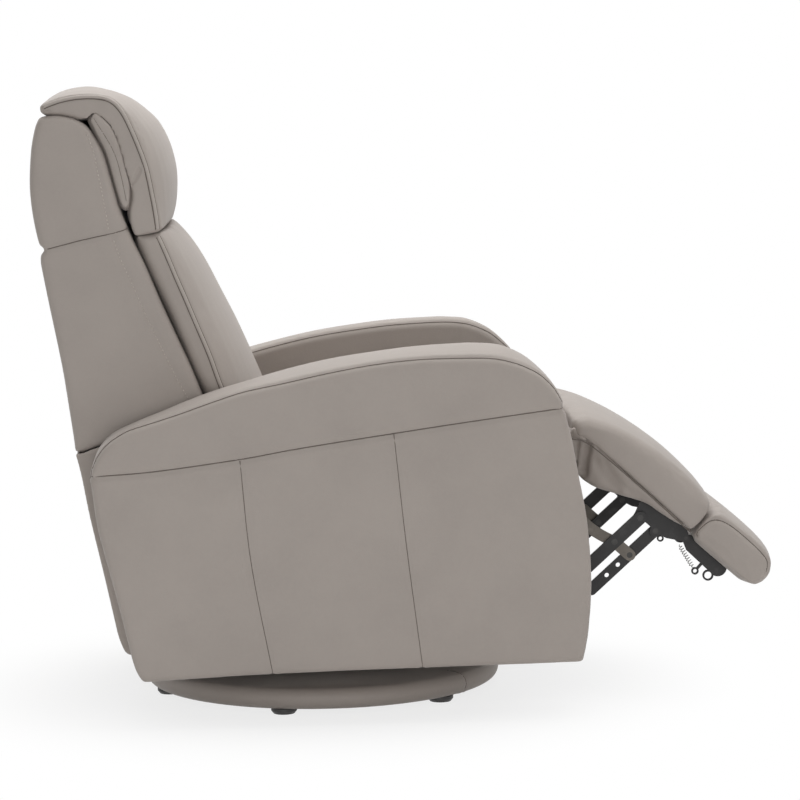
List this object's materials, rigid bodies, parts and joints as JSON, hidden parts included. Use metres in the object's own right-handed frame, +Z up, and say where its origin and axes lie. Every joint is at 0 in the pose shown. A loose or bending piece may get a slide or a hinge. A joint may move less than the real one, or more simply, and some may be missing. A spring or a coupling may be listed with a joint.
{
  "type": "swivel rocker recliner",
  "caption": "Upholstered swivel rocker recliner on a round base, with a reclining back, tilting headrest and a footrest that unfolds on scissor links.",
  "frame": {"origin": "on the floor, on the swivel axis, at the centre of the ring of glides", "axes": "+X forward, the way the sitter faces; +Y to the sitter's left; +Z up"},
  "size_m": [1.2575, 0.776, 1.0512],
  "materials": {
    "leather": "matt taupe grey upholstery leather",
    "timber": "plain plywood and softwood",
    "dark_steel": "satin black",
    "grey_steel": "satin grey",
    "bright_steel": "zinc plated",
    "plastic": "matt black"
  },
  "bodies": {
    "base": {"base_board": "timber", "base_cover": "leather", "base_glides": "plastic", "swivel_lower_race": "dark_steel", "swivel_balls": "bright_steel", "kingpin": "bright_steel"},
    "turntable": {"swivel_upper_race": "dark_steel", "rocker_yokes": "dark_steel", "rocker_axle": "bright_steel", "rocker_springs": "bright_steel"},
    "chair": {"saddle_plate": "dark_steel", "saddle_ears": "dark_steel", "rocker_bushes": "plastic", "cross_tubes": "dark_steel", "side_plate_left": "dark_steel", "side_plate_right": "dark_steel", "seat_rails": "timber", "seat_cross_rails": "timber", "seat_springs": "bright_steel", "seat_cushion": "leather", "arm_boards": "timber", "arm_outer_panel_left": "leather", "arm_outer_panel_right": "leather", "arm_inner_panel_left": "leather", "arm_inner_panel_right": "leather", "arm_pad_left": "leather", "arm_pad_right": "leather", "rear_skirt": "leather", "back_hinge_pins": "bright_steel", "release_bezel": "plastic"},
    "release": {"release_lever": "plastic"},
    "back": {"back_arms": "dark_steel", "back_posts": "timber", "back_rails": "timber", "back_side_left": "leather", "back_side_right": "leather", "back_rear_panel": "leather", "lumbar_cushion": "leather", "head_block": "leather", "head_hinge_brackets": "dark_steel", "head_gussets": "leather", "head_rod": "bright_steel"},
    "headrest": {"head_pad": "leather", "head_flap": "leather", "head_board": "timber", "head_hinge_plates": "dark_steel"},
    "swing": {"drive_tube": "grey_steel", "swing_links": "grey_steel", "swing_pins": "bright_steel"},
    "long": {"long_links": "dark_steel", "slot_rollers": "plastic"},
    "guide": {"guide_links": "dark_steel"},
    "footrest": {"footrest_brackets": "dark_steel", "bracket_pins": "bright_steel", "footrest_board": "timber", "footrest_pad": "leather", "footrest_wedge": "leather"},
    "toe": {"toe_board": "timber", "toe_pad": "leather", "toe_brackets": "dark_steel"}
  },
  "joints": [
    {"name": "swivel", "type": "hinge", "parent": "base", "child": "turntable", "pos_m": [0, 0, 0.05], "axis": [0, 0, 1], "continuous": true},
    {"name": "rock", "type": "hinge", "parent": "turntable", "child": "chair", "pos_m": [0, 0, 0.112], "axis": [0, 1, 0], "range_deg": [-7, 3], "stiffness_Nm_per_rad": 900, "deforming": ["rocker_springs"]},
    {"name": "recline", "type": "hinge", "parent": "chair", "child": "back", "pos_m": [-0.23, 0, 0.3], "axis": [0, -1, 0], "range_deg": [0, 30]},
    {"name": "headrest_tilt", "type": "hinge", "parent": "back", "child": "headrest", "pos_m": [-0.266, 0, 0.8195], "axis": [0, 1, 0], "range_deg": [0, 20]},
    {"name": "footrest_drive", "type": "hinge", "parent": "chair", "child": "swing", "pos_m": [0.4028, 0, 0.3483], "axis": [0, -1, 0], "range_deg": [-40, 32]},
    {"name": "long_pivot", "type": "hinge", "parent": "swing", "child": "long", "pos_m": [0.49198, 0, 0.268], "axis": [0, -1, 0], "range_deg": [-64, 80]},
    {"name": "guide_pivot", "type": "hinge", "parent": "swing", "child": "guide", "pos_m": [0.51873, 0, 0.24392], "axis": [0, -1, 0], "range_deg": [-64, 80]},
    {"name": "bracket_pivot", "type": "hinge", "parent": "long", "child": "footrest", "pos_m": [0.53657, 0, 0.30815], "axis": [0, -1, 0], "range_deg": [-80, 64]},
    {"name": "toe_hinge", "type": "hinge", "parent": "footrest", "child": "toe", "pos_m": [0.61572, 0, 0.27052], "axis": [0, -1, 0], "range_deg": [-20, 0], "stiffness_Nm_per_rad": 8, "springref_deg": 28.65},
    {"name": "release_turn", "type": "hinge", "parent": "chair", "child": "release", "pos_m": [0.292, -0.266, 0.546], "axis": [0, 1, 0], "range_deg": [-35, 0], "stiffness_Nm_per_rad": 0.6, "springref_deg": 11.46}
  ],
  "couplings": [
    {"joint": "long_pivot", "follows": "footrest_drive", "ratio": -2},
    {"joint": "guide_pivot", "follows": "footrest_drive", "ratio": -2},
    {"joint": "bracket_pivot", "follows": "footrest_drive", "ratio": 2}
  ]
}
